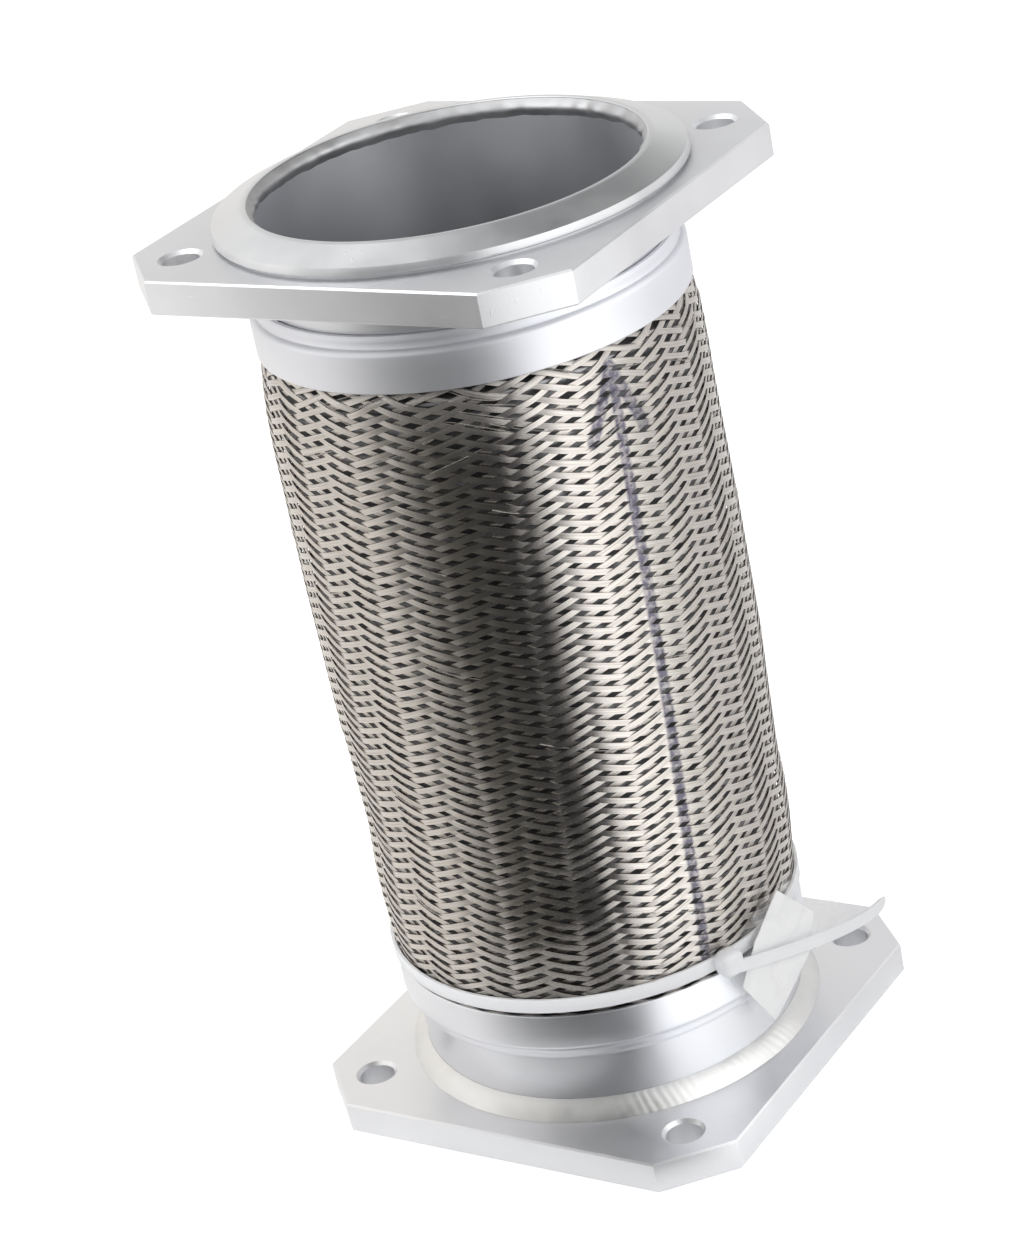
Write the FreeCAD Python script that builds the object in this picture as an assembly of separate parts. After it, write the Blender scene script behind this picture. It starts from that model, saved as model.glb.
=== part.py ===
import FreeCAD, Part
import math
import os

# Flanged exhaust flex pipe: a corrugated bellows inside a woven steel braid,
# held at each end by a rolled collar on a short end pipe, with a square bolted
# flange welded to each pipe. A conical seal ring stands on the upper flange.
# A cable tie round the foot of the braid carries a clear pouch with a card.
#
# Units are millimetres. The pipe's axis is Z. The origin is the centre of the
# lower flange's outer face, which the pipe stands on.

V = FreeCAD.Vector

# Overall
face_to_face = 308.6

# End pipes
pipe_od = 130.0
pipe_wall = 2.5
pipe_end_in_collar = 2.1

# Flanges
flange_margin = 15.0
flange_thickness = 11.0
flange_corner_cut = 20.0
flange_edge_break = 0.6
flange_bore_clearance = 0.15
bolt_hole_from_side = 19.5
bolt_hole_d = 12.0
bolt_hole_chamfer = 1.2

# Welds
flange_weld_leg = 5.4
face_weld_leg = 2.5
ring_weld_width = 3.2
ring_weld_bulge = 0.8
weld_gap = 0.05

# Seal ring, heights measured from the upper flange's outer face
ring_margin = 10.0
ring_height = 7.5
ring_rim_height = 3.5
ring_relief_height = 1.0
ring_relief_depth = 1.5
ring_land_width = 1.9
ring_socket_depth = 4.7
ring_end_gap = 0.2

# Collars that hold the braid, heights measured from the end near the braid
collar_wall = 1.6
collar_band_length = 13.7
collar_lip_length = 3.8
collar_lip_clearance = 0.2
lower_collar_from_flange = 22.6
upper_collar_from_flange = 10.1

# Bellows, whose roots reach further in than the pipes' outer face
bellows_wall = 0.5
bellows_cuff_clearance = 0.3
bellows_cuff_past_braid = 0.35
bellows_root_depth = 3.5
bellows_wave_height = 5.6
bellows_waves = 24
bellows_bend_share = 0.44
bellows_bend_sides = 3
bellows_pipe_gap = 0.75

# Braid, which lies round the bellows, and whose tails lie between cuffs and collars
braid_thickness = 1.2
braid_cuff_clearance = 0.3
braid_collar_clearance = 0.3
braid_neck_clearance = 0.3
braid_body_clearance = 2.0
braid_tail_margin = 0.1
braid_flare_length = 4.0
braid_shoulder_length = 5.0
braid_neck_margin = 0.6
braid_rows = 13
braid_plain_rows = 1.085
strands_each_way = 10
strand_width = 8.9
strand_rise = 0.9
strand_spacing = 1.0

# Cable tie
tie_width = 4.8
tie_thickness = 1.3
tie_clearance = 0.1
tie_above_collar = 1.2
tie_head_turn = -22.0
tie_head_width = 8.4
tie_head_height = 9.0
tie_head_seat = 0.5
tie_head_cover = 1.2
tie_tail_thickness = 1.2
tie_tail_width = 4.4
tie_tail_start_lift = 0.4
tie_tail_lift = 1.8
tie_tail_cross_along = 19.8
tie_tail_cross_drop = 12.2
tie_tail_reach = 46.4
tie_tail_tip_drop = 11.1
tie_tail_tip_in = 4.5

# Pouch and card, which face outward at pouch_turn round the pipe
pouch_film = 0.2
pouch_side_margin = 4.6
pouch_end_margin = 3.0
pouch_corner_margin = 5.0
pouch_clearance = 0.3
pouch_turn = -8.0
pouch_roll = 30.0
pouch_from_head = 0.9
pouch_hang_rise = 0.76
card_width = 37.8
card_height = 32.0
card_thickness = 0.3
card_face_clearance = 0.25
card_clearance = 0.5
card_corner_cut = 10.0
card_shift_along = -1.9
card_shift_up = -1.4

# Radii that follow, from the bore outward
pipe_r = pipe_od / 2
pipe_bore_r = pipe_r - pipe_wall
bellows_bore_r = pipe_r - bellows_root_depth
bellows_crest_r = bellows_bore_r + bellows_wave_height
bellows_cuff_r = pipe_r + bellows_cuff_clearance
braid_tail_r = bellows_cuff_r + bellows_wall + braid_cuff_clearance + braid_thickness
braid_neck_r = bellows_crest_r + braid_neck_clearance + braid_thickness
braid_body_r = bellows_crest_r + braid_body_clearance + braid_thickness
collar_bore_r = braid_tail_r + braid_collar_clearance
collar_r = collar_bore_r + collar_wall
tie_r = braid_neck_r + tie_clearance
flange_half = pipe_r + flange_margin
bolt_hole_at = flange_half - bolt_hole_from_side

# Heights that follow
upper_flange_z = face_to_face - flange_thickness
collar_length = collar_band_length + collar_lip_length
lower_rim_z = flange_thickness + lower_collar_from_flange + collar_length
upper_rim_z = upper_flange_z - upper_collar_from_flange - collar_length
lower_pipe_top_z = lower_rim_z - pipe_end_in_collar
upper_pipe_low_z = upper_rim_z + pipe_end_in_collar
upper_pipe_top_z = face_to_face + ring_socket_depth - ring_end_gap
braid_tail_length = collar_band_length - collar_wall - braid_tail_margin
tie_z = lower_rim_z + tie_above_collar
tie_middle_z = tie_z + tie_width / 2
neck_high_z = tie_z + tie_width + braid_neck_margin
body_low_z = neck_high_z + braid_flare_length
body_high_z = upper_rim_z - braid_shoulder_length - braid_flare_length
braid_row = (body_high_z - body_low_z) / (braid_rows + braid_plain_rows)

# Sizes of the pouch that follow from its card, and its place in front of all behind it
pouch_width = card_width + 2 * pouch_side_margin
pouch_height = card_height + 2 * pouch_end_margin
pouch_corner_cut = card_corner_cut + pouch_corner_margin
pouch_thickness = card_thickness + 2 * card_face_clearance + 2 * pouch_film
pouch_back = max(collar_r, tie_r + tie_thickness, braid_body_r + strand_rise) + pouch_clearance
pouch_front = pouch_back + pouch_thickness


def edge_loop(*steps):
    """Wire in the r-z half plane. A step (r, z) is a corner; a step of two
    such pairs is an arc, given by a point on the way and the point it ends at."""
    start = V(steps[0][0], 0, steps[0][1])
    here = start
    edges = []
    for step in steps[1:] + (steps[0],):
        if isinstance(step[0], tuple):
            middle = V(step[0][0], 0, step[0][1])
            there = V(step[1][0], 0, step[1][1])
            edges.append(Part.Arc(here, middle, there).toShape())
        else:
            there = V(step[0], 0, step[1])
            edges.append(Part.LineSegment(here, there).toShape())
        here = there
    return Part.Wire(edges)


def turned(*steps):
    """Solid turned about the pipe's axis from a closed outline."""
    return Part.Face(edge_loop(*steps)).revolve(V(0, 0, 0), V(0, 0, 1), 360)


def mirrored_outline(steps, z_at, up):
    """Moves an outline drawn from z = 0 to z_at, pointing up (1) or down (-1)."""
    def place(step):
        if isinstance(step[0], tuple):
            return tuple(place(p) for p in step)
        return (step[0], z_at + up * step[1])
    return [place(step) for step in steps]


def flange(z_low):
    """Square plate with cut corners, a bore for the pipe and four bolt holes."""
    half = flange_half
    inner = half - flange_corner_cut
    corners = [(inner, -half), (half, -inner), (half, inner), (inner, half)]
    corners += [(-x, -y) for x, y in corners]
    outline = Part.makePolygon([V(x, y, z_low) for x, y in corners + corners[:1]])
    plate = Part.Face(outline).extrude(V(0, 0, flange_thickness))
    rims = [e for e in plate.Edges if abs(e.Vertexes[0].Z - e.Vertexes[1].Z) < 1e-6]
    plate = plate.makeChamfer(flange_edge_break, rims)
    bore_r = pipe_r + flange_bore_clearance
    cuts = [Part.makeCylinder(bore_r, flange_thickness, V(0, 0, z_low))]
    for sx in (-1, 1):
        for sy in (-1, 1):
            cuts += bolt_hole(sx * bolt_hole_at, sy * bolt_hole_at, z_low)
    return plate.cut(cuts)


def bolt_hole(x, y, z_low):
    """Drill and the two chamfers of one bolt hole."""
    r = bolt_hole_d / 2
    c = bolt_hole_chamfer
    top = z_low + flange_thickness
    drill = Part.makeCylinder(r, flange_thickness, V(x, y, z_low))
    low = Part.makeCone(r + c, r, c, V(x, y, z_low))
    high = Part.makeCone(r, r + c, c, V(x, y, top - c))
    return [drill, low, high]


def end_pipe(z_low, z_high):
    return turned((pipe_bore_r, z_low), (pipe_r, z_low), (pipe_r, z_high), (pipe_bore_r, z_high))


def flange_weld(z_face, up):
    """Fillet weld between a flange's inner face and its pipe, slightly crowned."""
    r = pipe_r + weld_gap
    leg = flange_weld_leg
    crown = 0.56 * leg
    steps = [(r, 0), (r + leg, 0), ((r + crown, crown), (r, leg))]
    return turned(*mirrored_outline(steps, z_face, up))


def face_weld():
    """Weld in the corner between the lower flange's bore and the pipe's end."""
    r_out = pipe_r + flange_bore_clearance - weld_gap
    r_in = pipe_bore_r
    leg = face_weld_leg
    return turned((r_in, leg - weld_gap), (r_in + 0.4 * leg, 0.3), (r_out, 0.3),
                  (r_out, leg - weld_gap))


def seal_ring():
    """Ring with a narrow flat land, a conical face and a low upright rim."""
    z = face_to_face
    r_out = pipe_r + ring_margin
    socket_r = pipe_r + flange_bore_clearance
    land_r = pipe_bore_r + ring_land_width
    return turned(
        (socket_r, z), (r_out - ring_relief_depth, z),
        (r_out - ring_relief_depth, z + ring_relief_height),
        (r_out, z + ring_relief_height), (r_out, z + ring_rim_height),
        (land_r, z + ring_height), (pipe_bore_r, z + ring_height),
        (pipe_bore_r, z + ring_socket_depth), (socket_r, z + ring_socket_depth))


def seal_ring_weld():
    """Bead inside the mouth, over the joint of the pipe's end and the ring."""
    r = pipe_bore_r - weld_gap
    middle = upper_pipe_top_z
    half = ring_weld_width / 2
    return turned((r, middle - half), ((r - ring_weld_bulge, middle), (r, middle + half)))


def collar(z_rim, up):
    """Band over the braid's end, rolled in at its far end onto the pipe."""
    r_in = collar_bore_r
    lip_in = pipe_r + collar_lip_clearance
    lip_out = lip_in + collar_wall
    band = collar_band_length
    end = collar_length
    steps = [
        (r_in, 0), (collar_r, 0), (collar_r, band),
        ((collar_r - 0.28 * (collar_r - lip_out), band + 0.72 * collar_lip_length), (lip_out, end)),
        (lip_in, end), (lip_in, end - collar_wall),
        ((r_in - 0.3 * (r_in - lip_in), band + 0.3), (r_in, band - collar_wall))]
    return turned(*mirrored_outline(steps, z_rim, up))


def braid_sleeve():
    """Wall of the braid: a tail in each collar, a neck for the tie, flares and a body,
    whose wall is drawn in one band for each row of the weave."""
    t = braid_thickness
    low, high = lower_rim_z, upper_rim_z
    band = (body_high_z - body_low_z) / braid_rows
    outer = [
        (braid_tail_r, low - braid_tail_length), (braid_tail_r, low + 0.1),
        (braid_neck_r, tie_z - tie_above_collar / 2), (braid_neck_r, neck_high_z)]
    outer += [(braid_body_r, body_low_z + k * band) for k in range(braid_rows + 1)]
    outer += [
        (braid_neck_r, high - braid_shoulder_length), (braid_tail_r, high - 0.1),
        (braid_tail_r, high + braid_tail_length)]
    inner = [(r - t, z) for r, z in reversed(outer)]
    return turned(*(outer + inner))


def diamond(length, width, slope):
    """Corners of an unrolled diamond: two sides run along a strand of the given
    slope, and its ends run along the strands that cross it."""
    half_along = length / 2 * math.cos(slope)
    half_rise = length / 2 * math.sin(slope)
    end_along = width / 4 / math.sin(slope)
    end_rise = width / 4 / math.cos(slope)
    return [(-half_along - end_along, end_rise - half_rise),
            (half_along - end_along, half_rise + end_rise),
            (half_along + end_along, half_rise - end_rise),
            (end_along - half_along, -half_rise - end_rise)]


def radial_bar(corners, r_from, r_to):
    """Bar that crosses the braid's wall at the +X side, with the given outline."""
    outline = [V(r_from, along, z) for along, z in corners]
    return Part.Face(Part.makePolygon(outline + outline[:1])).extrude(V(r_to - r_from, 0, 0))


def raised_pad(corners, r_from, r_to):
    """Plate with the given outline, bent round the braid between two radii."""
    height = 2 * max(z for along, z in corners) + 2
    low = V(0, 0, -height / 2)
    ring = Part.makeCylinder(r_to, height, low).cut(Part.makeCylinder(r_from, height, low))
    return radial_bar(corners, r_from / 2, 2 * r_to).common(ring)


def woven_braid():
    """Sleeve with the strands that pass over two others standing proud of it.
    They form upright columns that lean right and left by turns, half a row
    apart in height, with a row of gaps at one side of each column."""
    body_r = braid_body_r
    row = braid_row
    column = 2 * math.pi * body_r / strands_each_way
    slope = math.atan(row / column)
    spread = math.sin(2 * slope)
    length = 1.5 * column / math.cos(slope) - (strand_width + 2 * strand_spacing) / spread
    right = diamond(length, strand_width, slope)
    left = [(along, -z) for along, z in right]
    pads = [raised_pad(side, body_r - 0.2, body_r + strand_rise) for side in (right, left)]
    spare = row * math.cos(slope) - strand_width - strand_spacing / 2
    gap = radial_bar(diamond(spare / spread, spare, slope),
                     body_r - 3 * braid_thickness, body_r + 3 * braid_thickness)
    first = (body_low_z + body_high_z - (braid_rows - 1) * row) / 2
    ridges = []
    holes = []
    for c in range(strands_each_way):
        turn = (c + 0.25) * 360 / strands_each_way
        lean = c % 2
        for k in range(braid_rows):
            z = first + (k + 0.25 - 0.5 * lean) * row
            ridges.append(placed(pads[lean], turn, z))
        for k in range(braid_rows - 1):
            z = first + (k + 0.5) * row
            holes.append(placed(gap, c * 360 / strands_each_way, z))
    return braid_sleeve().fuse(ridges).cut(holes)


def placed(shape, turn, z):
    """Copy turned about the pipe's axis and raised."""
    copy = shape.copy()
    copy.Placement = FreeCAD.Placement(V(0, 0, z), FreeCAD.Rotation(V(0, 0, 1), turn))
    return copy


def half_turn(r, z, reach, rise, side):
    """Corners of a bend from below (r, z) to above it, outward (1) or inward (-1),
    whose furthest corners reach as far as said."""
    angles = [math.pi * k / bellows_bend_sides for k in range(bellows_bend_sides + 1)]
    furthest = max(math.sin(a) for a in angles)
    return [(r + side * reach * math.sin(a) / furthest, z - rise * math.cos(a)) for a in angles]


def bellows():
    """Thin corrugated tube with U-shaped waves and a plain cuff on each pipe."""
    w = bellows_wall
    low = lower_pipe_top_z + bellows_pipe_gap
    high = upper_pipe_low_z - bellows_pipe_gap
    low_end = lower_rim_z - braid_tail_length - bellows_cuff_past_braid
    high_end = upper_rim_z + braid_tail_length + bellows_cuff_past_braid
    pitch = (high - low - w) / (bellows_waves + 0.5)
    rise = pitch / 4
    reach = bellows_bend_share * (bellows_wave_height - w)
    root = bellows_bore_r + w / 2 + reach
    crest = bellows_crest_r - w / 2 - reach
    first = low + w / 2 + rise
    last = first + bellows_waves * pitch
    skins = []
    for side in (1, -1):
        thinner = side * w / 2
        cuff = bellows_cuff_r + max(0, side) * w
        skin = [(cuff, low_end), (cuff, first - rise + thinner)]
        for k in range(bellows_waves):
            z = first + k * pitch
            skin += half_turn(root, z, reach - thinner, rise - thinner, -1)
            skin += half_turn(crest, z + pitch / 2, reach + thinner, rise + thinner, 1)
        skin += half_turn(root, last, reach - thinner, rise - thinner, -1)
        skin += [(cuff, last + rise - thinner), (cuff, high_end)]
        skins.append(skin)
    return turned(*(skins[0] + skins[1][::-1]))


def facing(out, along, z):
    """Point so far out from the axis toward the pouch's front, and along to its right."""
    return FreeCAD.Rotation(V(0, 0, 1), pouch_turn).multVec(V(out, along, z))


def cable_tie():
    """Band round the braid's neck, its ratchet head, and the spare tail that
    leaves the head, crosses the front of the pouch and ends in the open."""
    r_out = tie_r + tie_thickness
    head_r = r_out - tie_head_seat
    tail_start_r = (pouch_front + tie_tail_start_lift) / math.cos(head_from_pouch())
    band = turned((tie_r, tie_z), (r_out, tie_z), (r_out, tie_z + tie_width),
                  (tie_r, tie_z + tie_width))
    head = Part.makeBox(tail_start_r + tie_head_cover - head_r, tie_head_width, tie_head_height,
                        V(head_r, -tie_head_width / 2, tie_middle_z - tie_head_height / 2))
    head = head.makeChamfer(0.8, head.Edges)
    head.rotate(V(0, 0, 0), V(0, 0, 1), tie_head_turn)
    return band.fuse([head, tie_tail(tail_start_r)])


def head_from_pouch():
    """How far round the pipe the tie's head lies from the pouch's front, in radians."""
    return math.radians(tie_head_turn - pouch_turn)


def tie_tail(r_start):
    """Strip swept along an arc from inside the head."""
    start = FreeCAD.Rotation(V(0, 0, 1), tie_head_turn).multVec(V(r_start, 0, tie_middle_z))
    out = pouch_front + tie_tail_thickness / 2 + tie_tail_lift
    cross_z = tie_middle_z - tie_tail_cross_drop
    cross = facing(out, tie_tail_cross_along, cross_z)
    tip = facing(out - tie_tail_tip_in, tie_tail_cross_along + tie_tail_reach,
                 cross_z - tie_tail_tip_drop)
    path = Part.Wire(Part.Arc(start, cross, tip).toShape())
    ahead = path.Edges[0].tangentAt(path.Edges[0].FirstParameter)
    side = ahead.cross(V(0, 0, 1)).normalize() * (tie_tail_thickness / 2)
    up = side.cross(ahead).normalize() * (tie_tail_width / 2)
    corners = [start + side + up, start + side - up, start - side - up, start - side + up]
    return path.makePipeShell([Part.makePolygon(corners + corners[:1])], True, True)


def hung(shape):
    """Moves a flat piece, drawn upright round the origin, to where the pouch hangs:
    the middle of its cut corner lies beside the low end of the tie's head."""
    turn = FreeCAD.Rotation(V(0, 0, 1), pouch_turn)
    roll = FreeCAD.Rotation(V(1, 0, 0), pouch_roll)
    head_side = (pouch_back * math.tan(head_from_pouch())
                 + tie_head_width / 2 / math.cos(head_from_pouch()))
    hang = V(pouch_back + pouch_thickness / 2, head_side + pouch_from_head,
             tie_middle_z - tie_head_height / 2 + pouch_hang_rise)
    cut_corner = V(0, (pouch_corner_cut - pouch_width) / 2, (pouch_height - pouch_corner_cut) / 2)
    centre = turn.multVec(hang - roll.multVec(cut_corner))
    shape.Placement = FreeCAD.Placement(centre, turn.multiply(roll))
    return shape


def clipped(thickness, width, height, cut, along=0, up=0):
    """Flat plate, upright round (0, along, up), with three of its corners cut off."""
    y = width / 2
    z = height / 2
    outline = [(-y, -z), (-y, z - cut), (cut - y, z), (y - cut, z), (y, z - cut),
               (y, cut - z), (y - cut, -z), (-y, -z)]
    wire = Part.makePolygon([V(-thickness / 2, along + a, up + b) for a, b in outline])
    return Part.Face(wire).extrude(V(thickness, 0, 0))


def tag_pouch():
    """Flat clear bag, closed all round, with room for the card."""
    outer = clipped(pouch_thickness, pouch_width, pouch_height, pouch_corner_cut)
    room = clipped(pouch_thickness - 2 * pouch_film, card_width + 2 * card_clearance,
                   card_height + 2 * card_clearance, card_corner_cut + card_clearance,
                   card_shift_along, card_shift_up)
    return hung(outer.cut(room))


def tag_card():
    return hung(clipped(card_thickness, card_width, card_height, card_corner_cut,
                        card_shift_along, card_shift_up))


def build():
    return {
        "bottom_flange": flange(0),
        "bottom_end_pipe": end_pipe(face_weld_leg, lower_pipe_top_z),
        "bottom_flange_weld": flange_weld(flange_thickness, 1),
        "bottom_face_weld": face_weld(),
        "bottom_collar": collar(lower_rim_z, -1),
        "bellows": bellows(),
        "braid": woven_braid(),
        "top_collar": collar(upper_rim_z, 1),
        "top_flange_weld": flange_weld(upper_flange_z, -1),
        "top_flange": flange(upper_flange_z),
        "top_end_pipe": end_pipe(upper_pipe_low_z, upper_pipe_top_z),
        "seal_ring": seal_ring(),
        "seal_ring_weld": seal_ring_weld(),
        "cable_tie": cable_tie(),
        "tag_pouch": tag_pouch(),
        "tag_card": tag_card(),
    }


os.makedirs("parts", exist_ok=True)
for name, shape in build().items():
    shape.exportStep(os.path.join("parts", name + ".step"))
    print(name, len(shape.Solids), shape.isValid(), round(shape.Volume), len(shape.Faces))
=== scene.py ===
# %% [markdown]
# # A flanged exhaust flex pipe
# The real object is a short steel connector for an exhaust line. A thin bellows
# does the bending, a braid of flat wire strands protects it, and a square
# flange at each end bolts it to its neighbours. The solid model gives every
# size. This script dresses it: better surfaces, the real weave, weld beads,
# and the little things that hang on it.

# %% Opening the solid model
import math
import random

import bpy
import numpy as np
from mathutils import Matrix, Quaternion, Vector


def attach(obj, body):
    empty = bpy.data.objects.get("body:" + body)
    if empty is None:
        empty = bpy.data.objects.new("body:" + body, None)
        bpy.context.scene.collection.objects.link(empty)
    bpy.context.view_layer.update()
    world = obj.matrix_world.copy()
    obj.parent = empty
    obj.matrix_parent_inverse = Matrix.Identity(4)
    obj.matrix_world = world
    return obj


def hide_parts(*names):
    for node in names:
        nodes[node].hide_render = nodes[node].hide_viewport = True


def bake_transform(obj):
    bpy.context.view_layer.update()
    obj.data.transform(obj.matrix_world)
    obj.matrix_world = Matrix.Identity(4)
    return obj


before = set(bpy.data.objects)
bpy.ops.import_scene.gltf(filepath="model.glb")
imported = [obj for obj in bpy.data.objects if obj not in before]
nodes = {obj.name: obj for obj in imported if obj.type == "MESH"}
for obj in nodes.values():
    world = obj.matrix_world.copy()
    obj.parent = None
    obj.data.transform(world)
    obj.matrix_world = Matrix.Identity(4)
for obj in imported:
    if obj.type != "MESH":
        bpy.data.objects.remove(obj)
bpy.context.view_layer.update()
MM = 0.001

# %% [markdown]
# ## The camera
# A picture taken from a metre away has a different perspective from one taken
# at arm's length, so the lens and the distance belong together. Here the camera
# stands a little over a metre away, looks down at 25 degrees and is rolled by
# 12 degrees, which makes the upright pipe lean in the picture.

# %% Placing the camera
camera_data = bpy.data.cameras.new("camera")
camera_data.lens = 98.23
camera_data.sensor_fit = "AUTO"
camera_data.sensor_width = 36
camera = bpy.data.objects.new("camera", camera_data)
bpy.context.scene.collection.objects.link(camera)
bpy.context.scene.camera = camera
camera.location = (0.58612, -0.80176, 0.62237)
looked_at = Vector((-0.00647, -0.00481, 0.16259))
aim = looked_at - camera.location
roll = Quaternion((0, 0, 1), math.radians(-11.695))
camera.rotation_mode = "QUATERNION"
camera.rotation_quaternion = aim.to_track_quat("-Z", "Y") @ roll
print("camera to pipe: %.2f m" % aim.length)

# %% [markdown]
# ## Node trees in a few lines
# Every finish below is a small tree of nodes. It could be clicked together in
# the editor, but a written tree can be run again and changed by one number.
# Four helpers keep each tree short: one adds a node with its values and links,
# one does a step of arithmetic, one starts a material, and one links results to
# its main shader.


# %% Helpers for node trees
def add(tree, kind, inputs=None, **settings):
    """Adds a node, sets its properties, and sets or links its inputs."""
    node = tree.nodes.new(kind)
    for key, value in settings.items():
        setattr(node, key, value)
    for key, value in (inputs or {}).items():
        if isinstance(value, bpy.types.NodeSocket):
            tree.links.new(value, node.inputs[key])
        else:
            node.inputs[key].default_value = value
    return node


def calc(tree, operation, a, b=0.0):
    """One step of arithmetic."""
    return add(tree, "ShaderNodeMath", {0: a, 1: b}, operation=operation).outputs[0]


def new_finish(name, colour, roughness, metallic=1.0):
    """A material, its node tree and its main shader."""
    material = bpy.data.materials.new(name)
    material.use_nodes = True
    tree = material.node_tree
    shader = tree.nodes["Principled BSDF"]
    shader.inputs["Base Color"].default_value = (*colour, 1)
    shader.inputs["Roughness"].default_value = roughness
    shader.inputs["Metallic"].default_value = metallic
    print("finish:", name)
    return material, tree, shader


def feed(tree, shader, sources):
    """Links each source to the shader's input of that name."""
    for name, source in sources.items():
        tree.links.new(source, shader.inputs[name])


# %% [markdown]
# ## Light and surroundings
# Metal has hardly any look of its own: it shows what stands round it. Such a
# pipe is photographed in a tent of white cloth that has a dark slot for the
# lens. The white cloth gives the pale satin parts their evenness, and the slot
# gives the braid its dark band. The same studio is built here in four steps: a
# white sheet, a white sky, the tent and three soft lamps.
#
# The sheet is a plain white floor. A Light Path node tells a ray that comes
# from the camera from one that lights something, so the sheet can look pure
# white and still throw no more light on the object than a sheet does. The
# Standard view shows that white as white, where Blender's usual one greys it.

# %% The white sheet
bpy.context.scene.view_settings.view_transform = "Standard"
half_sheet = 6.0
glow_seen, glow_mirrored = 0.62, 0.3


def ray_kind(tree):
    """The kinds of ray, and 1 for a ray from the camera or through clear film."""
    path = add(tree, "ShaderNodeLightPath").outputs
    return path, calc(tree, "MAXIMUM", path["Is Camera Ray"], path["Is Transmission Ray"])


def sheet_material():
    """White under plain light, and lifted to full white where it is seen."""
    material, tree, shader = new_finish("studio_sheet", (0.86, 0.86, 0.86), 0.9, 0.0)
    path, seen = ray_kind(tree)
    lift = calc(tree, "MAXIMUM", calc(tree, "MULTIPLY", seen, glow_seen),
                calc(tree, "MULTIPLY", path["Is Glossy Ray"], glow_mirrored))
    shader.inputs["Emission Color"].default_value = (1, 1, 0.99, 1)
    feed(tree, shader, {"Emission Strength": lift})
    return material


sheet_mesh = bpy.data.meshes.new("studio_sheet")
sheet_mesh.from_pydata([(x * half_sheet, y * half_sheet, 0)
                        for x, y in ((-1, -1), (1, -1), (1, 1), (-1, 1))], [], [(0, 1, 2, 3)])
sheet_mesh.materials.append(sheet_material())
sheet = bpy.data.objects.new("studio_sheet", sheet_mesh)
sheet.location.z = -0.0002
bpy.context.scene.collection.objects.link(sheet)

# %% [markdown]
# The sky is the world's colour: white for the camera, and half as bright for
# the light. For mirror rays it gets darker behind the pipe on the right. The
# cone of the seal ring looks up to that place, and real studios have a dim
# corner there, which gives the ring its grey.


# %% The sky
def value_map(tree, value, low, high, to_low, to_high):
    """Stretches a value from one range to another, and stops at its ends."""
    node = add(tree, "ShaderNodeMapRange",
               {"Value": value, "From Min": low, "From Max": high,
                "To Min": to_low, "To Max": to_high})
    return node.outputs["Result"]


dark_side = (0.098, 0.635, 0.766)
plain_light = 0.5
world = bpy.data.worlds.new("studio")
world.use_nodes = True
bpy.context.scene.world = world
tree = world.node_tree
path, seen = ray_kind(tree)
direction = add(tree, "ShaderNodeTexCoord").outputs["Generated"]
towards = add(tree, "ShaderNodeVectorMath", {0: direction, 1: dark_side},
              operation="DOT_PRODUCT").outputs["Value"]
mirrored = value_map(tree, towards, 0.6, 0.97, 0.98, 0.26)
lit = add(tree, "ShaderNodeMix", {0: path["Is Glossy Ray"], 2: plain_light, 3: mirrored},
          data_type="FLOAT").outputs[0]
background = tree.nodes["Background"]
background.inputs["Color"].default_value = (1, 1, 0.995, 1)
feed(tree, background, {"Strength": calc(tree, "MAXIMUM", lit, seen)})
print("sky: %.2f for the light, 1 for the camera" % plain_light)

# %% [markdown]
# The tent is a wall of cloth round the pipe. A tent drawn on the sky would lie
# at infinity, while a wall close by gives each height its own reflection, and a
# narrow ring on the floor does so for the foot. Only mirror rays see it. The
# list says how bright the cloth is at each turn, 0 degrees being towards the
# camera: white on the left, dark in the slot, brightest beside it on the right,
# and a little dimmer from there on. From the upper collar up the slot is paler
# and turned aside, because the front corner of the upper flange mirrors cloth.

# %% The tent's cloth
camera_turn = math.atan2(camera.location.y, camera.location.x)
cloth = [(-180, (0.66, 0.64, 0.60)), (-90, (0.68, 0.66, 0.635)), (-60, (0.62, 0.605, 0.585)),
         (-43, (0.2, 0.196, 0.185)), (-33, (0.075, 0.074, 0.068)), (-14, (0.032, 0.032, 0.03)),
         (5, (0.03, 0.031, 0.034)), (11, (0.1, 0.1, 0.1)), (16.5, (1.06, 1.06, 1.06)),
         (40, (1.06, 1.06, 1.05)), (52, (0.7, 0.71, 0.69)), (78, (0.56, 0.548, 0.553)),
         (130, (0.58, 0.58, 0.58)), (180, (0.66, 0.64, 0.60))]
cloth_glow = 1.45
turned_above, paler_above, fully_above = 0.266, 0.268, 0.276
turned_by, paler_by, pale_cloth = 0.13, 0.3, (0.66, 0.66, 0.66)


def position(tree):
    """Where the shaded point is on its own object, in metres."""
    return add(tree, "ShaderNodeTexCoord").outputs["Object"]


def split(tree, vector):
    """The x, y and z of a vector."""
    return add(tree, "ShaderNodeSeparateXYZ", {0: vector}).outputs


def tint(tree, factor, dark, light):
    """A colour between two, each given as three numbers or as a node's output."""
    ends = [end if isinstance(end, bpy.types.NodeSocket) else (*end, 1) for end in (dark, light)]
    return add(tree, "ShaderNodeMix", {0: factor, 6: ends[0], 7: ends[1]},
               data_type="RGBA").outputs[2]


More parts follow.
